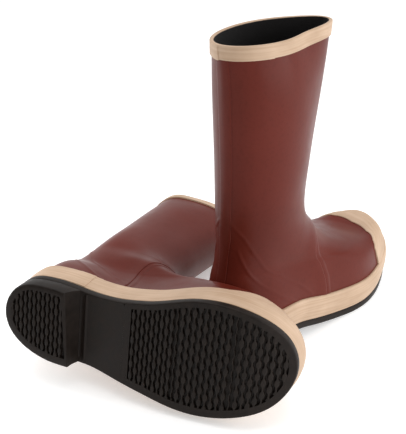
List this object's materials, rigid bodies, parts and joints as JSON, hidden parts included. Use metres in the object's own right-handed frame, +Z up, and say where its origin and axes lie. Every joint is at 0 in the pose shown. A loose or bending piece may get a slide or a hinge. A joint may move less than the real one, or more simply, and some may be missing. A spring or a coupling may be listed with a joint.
{
  "type": "pair of deck boots",
  "caption": "Pair of mid-height rubber deck boots with slip-resistant tread, the right one standing and the left one lying on its side.",
  "frame": {"origin": "middle of the standing right boot's heel rest face, on the ground", "axes": "+X towards the right boot's toe, +Y towards its inner side, +Z up along its leg; the left boot lies on its outer side on the inner side of it"},
  "size_m": [0.4767, 0.4055, 0.3544],
  "materials": {
    "black_sole_rubber": "matte moulded rubber with a fine dusty bloom",
    "shank_steel": "plain rolled steel",
    "filler_felt": "pressed felt",
    "insole_fibreboard": "brown fibreboard",
    "sockliner_fabric": "black brushed fabric over foam",
    "lining_fabric": "black knitted cotton",
    "stiffener_rubber": "raw sheet rubber",
    "red_gum_rubber": "satin brick-red gum rubber with soft highlights",
    "cream_rubber": "matte cream rubber with fine streaks along the strip"
  },
  "bodies": {
    "right_boot": {"right_outsole": "black_sole_rubber", "right_heel": "black_sole_rubber", "right_shank": "shank_steel", "right_bottom_filler": "filler_felt", "right_insole_board": "insole_fibreboard", "right_sockliner": "sockliner_fabric", "right_lining": "lining_fabric", "right_toe_puff": "stiffener_rubber", "right_heel_counter": "stiffener_rubber", "right_medial_ankle_patch": "stiffener_rubber", "right_lateral_ankle_patch": "stiffener_rubber", "right_vamp": "red_gum_rubber", "right_leg": "red_gum_rubber", "right_back_stay": "red_gum_rubber", "right_foxing": "cream_rubber", "right_toe_guard": "cream_rubber", "right_top_binding": "cream_rubber"},
    "left_boot": {"left_outsole": "black_sole_rubber", "left_heel": "black_sole_rubber", "left_shank": "shank_steel", "left_bottom_filler": "filler_felt", "left_insole_board": "insole_fibreboard", "left_sockliner": "sockliner_fabric", "left_lining": "lining_fabric", "left_toe_puff": "stiffener_rubber", "left_heel_counter": "stiffener_rubber", "left_medial_ankle_patch": "stiffener_rubber", "left_lateral_ankle_patch": "stiffener_rubber", "left_vamp": "red_gum_rubber", "left_leg": "red_gum_rubber", "left_back_stay": "red_gum_rubber", "left_foxing": "cream_rubber", "left_toe_guard": "cream_rubber", "left_top_binding": "cream_rubber"}
  },
  "joints": [
    {"name": "left_boot_tip_up", "type": "hinge", "parent": "right_boot", "child": "left_boot", "pos_m": [-0.21228, 0.14374, 0], "axis": [0.3827, -0.9239, 0], "range_deg": [0, 98]}
  ]
}
